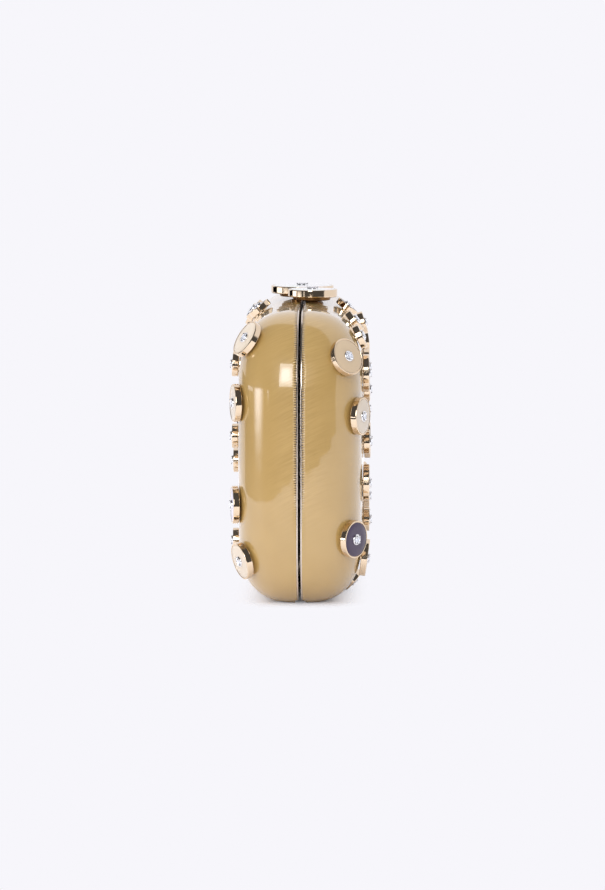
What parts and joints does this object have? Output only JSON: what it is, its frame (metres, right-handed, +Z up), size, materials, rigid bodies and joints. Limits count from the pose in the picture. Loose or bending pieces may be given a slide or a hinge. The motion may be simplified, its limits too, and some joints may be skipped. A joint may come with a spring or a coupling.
{
  "type": "hard-shell evening clutch",
  "caption": "Rigid evening clutch of two deep glossy half shells with a metal frame, a hinge along the bottom, a two-disc kiss lock on top and enamelled discs riveted over both faces.",
  "frame": {"origin": "on the floor under the middle of the closed case", "axes": "+X along the case's length, +Y from the front half to the back half, +Z up towards the kiss lock"},
  "size_m": [0.178, 0.0578, 0.1219],
  "materials": {
    "patent_leather": "high gloss ochre gold",
    "pale_brass": "polished",
    "plum_satin": "satin",
    "cream_enamel": "gloss enamel",
    "gold_enamel": "gloss enamel",
    "plum_enamel": "gloss enamel",
    "lilac_enamel": "gloss enamel",
    "pearl_enamel": "gloss enamel",
    "cut_glass": "faceted"
  },
  "bodies": {
    "back_half": {"back_shell": "patent_leather", "back_frame": "pale_brass", "back_lining": "plum_satin", "back_hinge_leaf": "pale_brass", "back_clasp_post": "pale_brass", "back_clasp_disc": "pearl_enamel", "back_clasp_stone": "cut_glass", "back_disc_01": "gold_enamel", "back_disc_02": "cream_enamel", "back_disc_03": "plum_enamel", "back_disc_04": "cream_enamel", "back_disc_05": "cream_enamel", "back_disc_06": "plum_enamel", "back_disc_07": "gold_enamel", "back_disc_08": "cream_enamel", "back_disc_09": "gold_enamel", "back_disc_10": "cream_enamel", "back_disc_11": "plum_enamel", "back_disc_12": "gold_enamel", "back_disc_13": "plum_enamel", "back_disc_14": "cream_enamel", "back_disc_15": "gold_enamel", "back_disc_16": "lilac_enamel", "back_disc_17": "cream_enamel", "back_disc_18": "gold_enamel", "back_disc_19": "cream_enamel", "back_disc_20": "plum_enamel", "back_disc_21": "lilac_enamel", "back_disc_22": "cream_enamel", "hinge_pin": "pale_brass"},
    "front_half": {"front_shell": "patent_leather", "front_frame": "pale_brass", "front_lining": "plum_satin", "front_hinge_leaf": "pale_brass", "front_clasp_post": "pale_brass", "front_clasp_disc": "pearl_enamel", "front_clasp_stone": "cut_glass", "front_disc_01": "gold_enamel", "front_disc_02": "cream_enamel", "front_disc_03": "plum_enamel", "front_disc_04": "cream_enamel", "front_disc_05": "cream_enamel", "front_disc_06": "plum_enamel", "front_disc_07": "gold_enamel", "front_disc_08": "cream_enamel", "front_disc_09": "gold_enamel", "front_disc_10": "cream_enamel", "front_disc_11": "plum_enamel", "front_disc_12": "gold_enamel", "front_disc_13": "plum_enamel", "front_disc_14": "cream_enamel", "front_disc_15": "cream_enamel", "front_disc_16": "gold_enamel", "front_disc_17": "cream_enamel", "front_disc_18": "cream_enamel", "front_disc_19": "gold_enamel", "front_disc_20": "lilac_enamel", "front_disc_21": "plum_enamel", "front_disc_22": "cream_enamel"}
  },
  "joints": [
    {"name": "case_hinge", "type": "hinge", "parent": "back_half", "child": "front_half", "pos_m": [0, 0, 0.00175], "axis": [1, 0, 0], "range_deg": [0, 85]}
  ]
}
